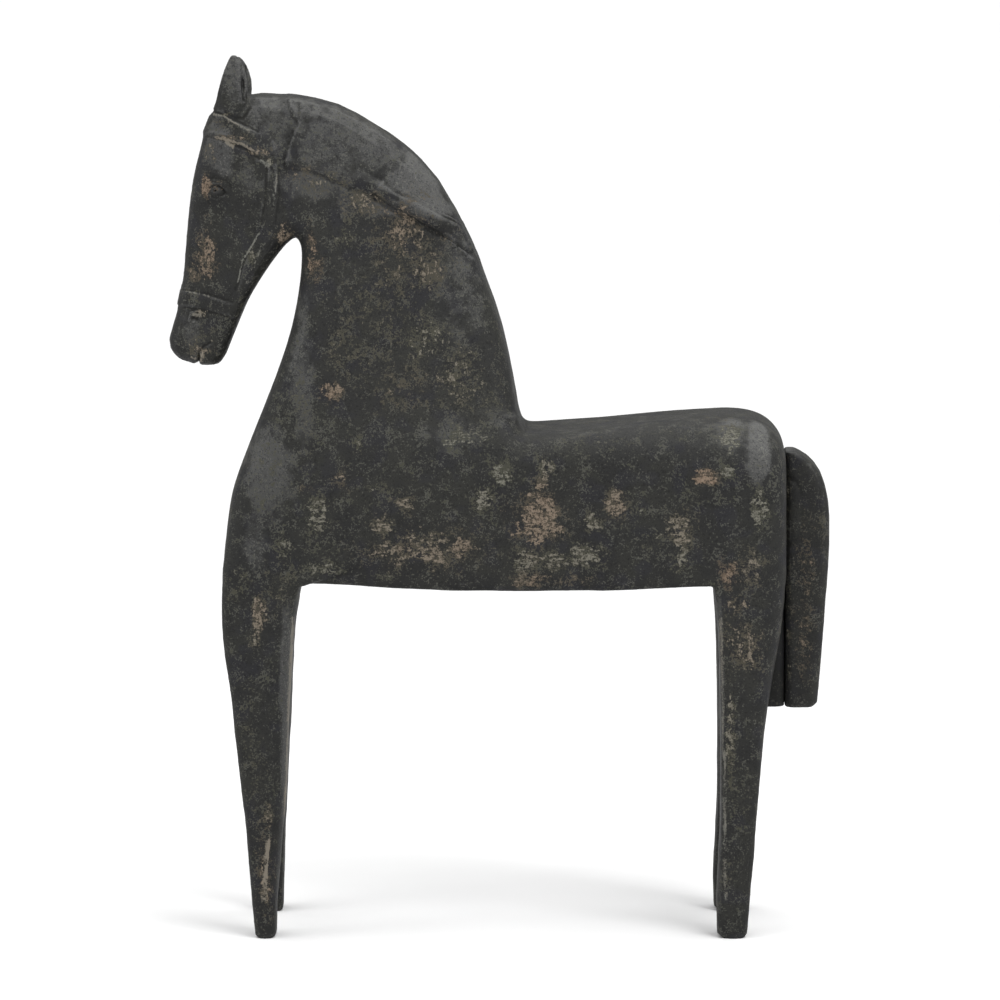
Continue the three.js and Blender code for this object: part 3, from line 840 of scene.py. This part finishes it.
def horse_grain(points):
    """Grain runs along the barrel and up the neck, head and legs."""
    x, _, z = points.T
    barrel = smoothstep(*BARREL_GRAIN_LOW, z) * smoothstep(*BARREL_GRAIN_HIGH, z)
    return 1 - barrel * smoothstep(*BARREL_GRAIN_FRONT, x)


def kept_inside(mesh, node):
    """Keeps every point inside the box of the solid that it dresses."""
    low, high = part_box(node)
    set_points(mesh, np.clip(points_of(mesh), np.array(low), np.array(high)))


def linked(name, mesh):
    mesh.shade_smooth()
    piece = bpy.data.objects.new(name, mesh)
    bpy.context.scene.collection.objects.link(piece)
    return piece


def make_horse(solid):
    mesh = remeshed(solid, HORSE_VOXEL)
    points = points_of(mesh)
    faired(mesh, FAIR_ROUNDS, fairing_cap(points))
    grown(mesh, by_region(points, GROW_BODY, GROW_FINE, GROW_LEGS))
    refined(mesh, near_cuts(mesh, CUTS, LINE_REACH))
    refined(mesh, np.linalg.norm(points_of(mesh)[:, [0, 2]] - EYE, axis=1) < EYE_REACH)
    hand_cut(mesh, 1 - HEAD_SPARED * head_share(points_of(mesh)))
    step_back_rear_edge(mesh)
    carved(mesh, CUTS)
    kept_inside(mesh, "horse")
    bend_fields(mesh)
    mesh = thinned(mesh, HORSE_TRIANGLES)
    evened(mesh, LONGEST_EDGE)
    kept_inside(mesh, "horse")
    wear_fields(mesh, WORN, FLANK, PALE_LINES, horse_grain)
    return linked("carved_horse", mesh)


def make_tail(solid):
    """The tail plank, with the shallow arched cut beside its seam."""
    mesh = remeshed(solid, TAIL_VOXEL)
    faired(mesh, TAIL_FAIR_ROUNDS, FAIR_CAP_TAIL)
    hand_cut(mesh, TAIL_UNEVEN)
    grown(mesh, np.full(len(mesh.vertices), GROW_LEGS))
    carved(mesh, TAIL_CUTS)
    kept_inside(mesh, "tail")
    bend_fields(mesh)
    mesh = thinned(mesh, TAIL_TRIANGLES)
    evened(mesh, LONGEST_EDGE)
    kept_inside(mesh, "tail")
    wear_fields(mesh, TAIL_WORN, TAIL_SIDE, {}, lambda points: np.ones(len(points)))
    return linked("tail_plank", mesh)


# Materials

# Red, green and blue as a screen shows them, from 0 to 255
COLOURS = {
    # The blacks and greys below and on top are painted shade and painted light, mixed by which way a face
    # turns
    "black, painted shade below": (27, 27, 27),
    "black, painted light on top": (49, 49, 48),
    "black, olive": (50, 50, 45),
    "black, blue": (38, 38, 45),
    "black, grit": (84, 84, 78),
    "black, pits and painted shade": (20, 20, 19),
    "grey, painted shade below": (50, 50, 50),
    "grey, painted light on top": (90, 90, 89),
    "grey, grit": (114, 114, 108),
    "grey, pit": (34, 34, 33),
    "olive wood, dark": (47, 47, 41),
    "olive wood, light": (110, 109, 100),
    "tan wood, dark": (46, 38, 30),
    "tan wood, light": (126, 107, 91),
    "wood, pit": (38, 33, 27),
    "olive stain": (60, 60, 51),
    "tan stain": (72, 63, 54),
    "olive edge": (104, 104, 98),
    "tan edge": (138, 123, 105),
    "floor, dark": (240, 240, 240),
    "floor, light": (244, 244, 244),
}


def colour(name):
    """A named colour as linear light."""
    shares = [value / 255 for value in COLOURS[name]]
    linear = [s / 12.92 if s <= 0.04045 else ((s + 0.055) / 1.055) ** 2.4 for s in shares]
    return (*linear, 1)


# The spread of a noise texture about its mean of a half, by its detail
NOISE_SPREAD = {1: 0.093, 2: 0.080, 3: 0.072}


class Nodes:
    """Short names for the shader nodes in use."""

    def __init__(self, material):
        material.use_nodes = True
        self.tree = material.node_tree
        self.shader = self.tree.nodes["Principled BSDF"]
        self.place = self.add("ShaderNodeTexCoord").outputs["Object"]

    def add(self, kind, **settings):
        node = self.tree.nodes.new(kind)
        for name, value in settings.items():
            setattr(node, name, value)
        return node

    def feed(self, socket, value):
        if isinstance(value, bpy.types.NodeSocket):
            self.tree.links.new(value, socket)
        else:
            socket.default_value = value

    def field(self, name):
        return self.add("ShaderNodeAttribute", attribute_name=name).outputs["Fac"]

    def noise(self, place, size, detail):
        """Noise with lumps of about that size, a mean of 0 and a spread of 1."""
        node = self.add("ShaderNodeTexNoise")
        self.feed(node.inputs["Vector"], place)
        node.inputs["Scale"].default_value = 1 / size
        node.inputs["Detail"].default_value = detail
        node.inputs["Roughness"].default_value = 0.6
        return self.math("DIVIDE", self.math("SUBTRACT", node.outputs["Fac"], 0.5), NOISE_SPREAD[detail])

    def math(self, operation, first, second):
        node = self.add("ShaderNodeMath", operation=operation)
        self.feed(node.inputs[0], first)
        self.feed(node.inputs[1], second)
        return node.outputs[0]

    def total(self, *weighed):
        """The sum of values, each with its weight."""
        terms = [self.math("MULTIPLY", value, weight) for value, weight in weighed]
        whole = terms[0]
        for term in terms[1:]:
            whole = self.math("ADD", whole, term)
        return whole

    def step(self, value, low, high, start=0.0, end=1.0):
        """Goes smoothly from start to end as the value goes from low to high."""
        node = self.add("ShaderNodeMapRange", interpolation_type="SMOOTHSTEP")
        settings = {"Value": value, "From Min": low, "From Max": high, "To Min": start, "To Max": end}
        for name, setting in settings.items():
            self.feed(node.inputs[name], setting)
        return node.outputs["Result"]

    def mix(self, kind, share, first, second):
        node = self.add("ShaderNodeMix", data_type=kind)
        wanted = {"FLOAT": "VALUE"}.get(kind, kind)
        sockets = [socket for socket in node.inputs if socket.type == wanted and socket.name in "AB"]
        self.feed(node.inputs["Factor"], share)
        self.feed(sockets[0], first)
        self.feed(sockets[1], second)
        return next(socket for socket in node.outputs if socket.type == wanted)

    def blend(self, share, first, second):
        """A colour between two colours."""
        return self.mix("RGBA", share, first, second)

    def along_grain(self, upright, squeeze):
        """Places squeezed along the grain, so that noise read there runs in streaks."""
        scale = self.mix("VECTOR", upright, (squeeze, 1, 1), (1, 1, squeeze))
        node = self.add("ShaderNodeVectorMath", operation="MULTIPLY")
        self.feed(node.inputs[0], self.place)
        self.feed(node.inputs[1], scale)
        return node.outputs[0]


# How large the lumps of each noise are
DUST = 1.2 * MM
SAND = 2.6 * MM
FLAKES = 6 * MM
HAZE = 13 * MM
TINT = 21 * MM
CLOUDS = 30 * MM
GRAIN = 2.4 * MM
GRAIN_SQUEEZE = 0.25
FLOOR_CLOUDS = 0.4


class PaintNodes(Nodes):
    """The fields stored on the mesh, and the noises that the paint and the wood are made of."""

    def __init__(self, material):
        super().__init__(material)
        for name in ("bare", "warm", "pale", "rubbed", "dusty", "edge", "sunk", "upright"):
            setattr(self, name, self.field(name))
        self.dust = self.noise(self.place, DUST, 1)
        self.sand = self.noise(self.place, SAND, 3)
        self.flakes = self.noise(self.place, FLAKES, 3)
        self.haze = self.noise(self.place, HAZE, 2)
        self.clouds = self.noise(self.place, CLOUDS, 2)
        self.tint = self.noise(self.place, TINT, 1)
        self.grain = self.noise(self.along_grain(self.upright, GRAIN_SQUEEZE), GRAIN, 3)
        self.fine = self.total((self.dust, 0.7), (self.sand, 0.6))


# Below, total() adds noises and fields by weight. In step() stand the value at which a colour begins
# to cover the one before, the value at which it is full, and the shares that it covers at each.

def black_paint(n):
    """Matt black, painted lighter on faces turned up and darker on faces turned down as light from above
    falls, clouded olive and blue, with grit and pits, and painted shade in hollows and on the block
    between the thighs.
    """
    # Painted light on faces turned up and painted shade on faces turned down
    black = n.blend(n.dusty, colour("black, painted shade below"), colour("black, painted light on top"))
    black = n.blend(n.step(n.clouds, -1.5, 1.5, 0, 0.35), black, colour("black, olive"))
    black = n.blend(n.step(n.tint, 0.3, 1.8, 0, 0.35), black, colour("black, blue"))
    grit = n.total((n.fine, 1.0), (n.haze, 0.6), (n.bare, 1.0), (n.rubbed, 0.5))
    black = n.blend(n.step(grit, 0.8, 2.2, 0, 0.65), black, colour("black, grit"))
    black = n.blend(n.step(n.fine, -0.6, -1.8, 0, 0.6), black, colour("black, pits and painted shade"))
    # Painted shade in hollows and on the block between the thighs
    return n.blend(n.step(n.sunk, 0, 1, 0, 0.6), black, colour("black, pits and painted shade"))


def rubbed_and_sheen_grey(n):
    """The grey of rubbed paint and of painted highlights, with grit and pits, painted lighter on faces
    turned up and darker on faces turned down.
    """
    # Painted light on faces turned up and painted shade on faces turned down
    grey = n.blend(n.dusty, colour("grey, painted shade below"), colour("grey, painted light on top"))
    grey = n.blend(n.step(n.fine, 0.7, 1.7, 0, 0.5), grey, colour("grey, grit"))
    return n.blend(n.step(n.fine, -0.9, -1.6, 0, 0.6), grey, colour("grey, pit"))


def stained_paint(n):
    """Black paint, rubbed paint and painted highlights, through which the wood stains thin places."""
    # Rubbed paint and painted highlights show as one grey
    rub_and_sheen = n.total((n.rubbed, 1.6), (n.edge, 0.8), (n.flakes, 0.10), (n.haze, 0.12))
    paint = n.blend(n.step(rub_and_sheen, 0.3, 1.5, 0, 0.85), black_paint(n), rubbed_and_sheen_grey(n))
    soft = n.total((n.bare, 3.0), (n.haze, 0.4), (n.flakes, 0.4), (n.sand, 0.5), (n.dust, 0.5))
    stain = n.blend(n.warm, colour("olive stain"), colour("tan stain"))
    return n.blend(n.step(soft, 1.2, 2.8, 0, 0.9), paint, stain)


def bare_wood(n):
    """Olive to tan wood, lighter the barer it is, with dark pits."""
    tone = n.step(n.total((n.fine, 0.7), (n.grain, 0.3), (n.bare, 1.2)), -0.8, 2.8)
    olive = n.blend(tone, colour("olive wood, dark"), colour("olive wood, light"))
    tan = n.blend(tone, colour("tan wood, dark"), colour("tan wood, light"))
    pits = n.step(n.total((n.dust, 0.7), (n.flakes, 0.5), (n.grain, 0.5)), -0.5, -1.2, 0, 0.8)
    return n.blend(pits, n.blend(n.warm, olive, tan), colour("wood, pit"))


def chips(n):
    """Where the paint has come off in crumbs, drawn out along the grain."""
    streak = n.total((n.grain, 0.7), (n.sand, 0.4), (n.dust, 0.3))
    core = n.step(n.bare, 0.4, 1.0)
    crumbs = n.total((streak, 0.7), (n.flakes, 0.6), (n.bare, 1.0), (core, 1.5))
    return n.math("MULTIPLY", n.step(crumbs, 1.9, 2.5), n.step(n.bare, 0.15, 0.55))


def with_pale_edges(n, shown):
    """A colour with the pale worn edges over it."""
    edge = n.blend(n.warm, colour("olive edge"), colour("tan edge"))
    share = n.step(n.total((n.pale, 2.0), (n.fine, 0.2), (n.grain, 0.2)), 0.6, 1.8, 0, 0.9)
    return n.blend(share, shown, edge)


def add_bump(n, chipped):
    """Sandy paint, and a little lower where it is chipped the grain of the wood."""
    bump = n.add("ShaderNodeBump")
    bump.inputs["Strength"].default_value = 0.8
    bump.inputs["Distance"].default_value = MM
    skin = n.total((n.sand, 0.025), (n.flakes, 0.020), (n.dust, 0.015))
    wood = n.total((n.grain, 0.035), (n.dust, 0.02), (1.0, -0.18))
    n.feed(bump.inputs["Height"], n.mix("FLOAT", chipped, skin, wood))
    n.feed(n.shader.inputs["Normal"], bump.outputs["Normal"])


def worn_paint():
    """Black paint, matt and sandy, rubbed grey, with painted highlights and painted light and shade, worn
    through to brown and olive wood with grain.
    """
    material = bpy.data.materials.new("worn_black_paint")
    n = PaintNodes(material)
    chipped = chips(n)
    shown = n.blend(chipped, stained_paint(n), bare_wood(n))
    n.feed(n.shader.inputs["Base Color"], with_pale_edges(n, shown))
    gloss = n.step(n.sand, -1.5, 1.5, 0.55, 0.70)
    n.feed(n.shader.inputs["Roughness"], n.mix("FLOAT", chipped, gloss, 0.9))
    n.shader.inputs["Specular IOR Level"].default_value = 0.15
    add_bump(n, chipped)
    return material


def pale_floor():
    material = bpy.data.materials.new("pale_floor")
    n = Nodes(material)
    clouds = n.step(n.noise(n.place, FLOOR_CLOUDS, 3), -2, 2)
    shade = n.blend(clouds, colour("floor, dark"), colour("floor, light"))
    n.feed(n.shader.inputs["Base Color"], shade)
    n.shader.inputs["Roughness"].default_value = 0.8
    n.shader.inputs["Specular IOR Level"].default_value = 0.1
    return material


# The studio

FLOOR_REACH = 40
SKY_STRENGTH = 2.1
# Share of the full strength at the sine of a height above the horizon
SKY = {0.0: 0.30, 0.13: 0.26, 0.20: 0.10, 0.50: 0.14, 0.80: 0.85, 1.0: 1.0}
# Square lights, all turned to one point
LIT_POINT = (0, 0, 0.4)
Light = namedtuple("Light", "place size watts")
LIGHTS = {
    "key": Light((1.3, -1.5, 2.3), 1.3, 36),
    "fill": Light((-2.3, -0.7, 0.9), 1.2, 12),
}


def make_floor():
    mesh = bpy.data.meshes.new("floor")
    far = FLOOR_REACH
    mesh.from_pydata([(-far, -far, 0), (far, -far, 0), (far, far, 0), (-far, far, 0)], [], [(0, 1, 2, 3)])
    floor = bpy.data.objects.new("floor", mesh)
    floor.data.materials.append(pale_floor())
    bpy.context.scene.collection.objects.link(floor)


def make_lights():
    for name, (place, size, watts) in LIGHTS.items():
        data = bpy.data.lights.new(name, "AREA")
        data.shape = "SQUARE"
        data.size = size
        data.energy = watts
        light = bpy.data.objects.new(name, data)
        light.location = place
        light.rotation_euler = (Vector(LIT_POINT) - Vector(place)).to_track_quat("-Z", "Y").to_euler()
        light.visible_camera = False
        bpy.context.scene.collection.objects.link(light)


def make_sky():
    """A white studio: bright overhead and along the horizon, dimmer between."""
    world = bpy.data.worlds.new("studio")
    world.use_nodes = True
    tree = world.node_tree
    place = tree.nodes.new("ShaderNodeTexCoord")
    split = tree.nodes.new("ShaderNodeSeparateXYZ")
    ramp = tree.nodes.new("ShaderNodeValToRGB")
    elements = ramp.color_ramp.elements
    for position, share in SKY.items():
        element = elements.new(position) if 0 < position < 1 else elements[-1 if position else 0]
        element.color = (share, share, share, 1)
    tree.links.new(place.outputs["Generated"], split.inputs[0])
    tree.links.new(split.outputs["Z"], ramp.inputs[0])
    back = tree.nodes["Background"]
    tree.links.new(ramp.outputs[0], back.inputs["Color"])
    back.inputs["Strength"].default_value = SKY_STRENGTH
    bpy.context.scene.world = world
    bpy.context.scene.view_settings.view_transform = "Standard"


make_camera()
make_floor()
make_sky()
make_lights()
paint = worn_paint()
for piece, node in (
    (make_horse(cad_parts["horse"]), "horse"),
    (make_tail(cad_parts["tail"]), "tail"),
):
    piece.data.materials.clear()
    piece.data.materials.append(paint)
    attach(piece, "root")
    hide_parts(node)
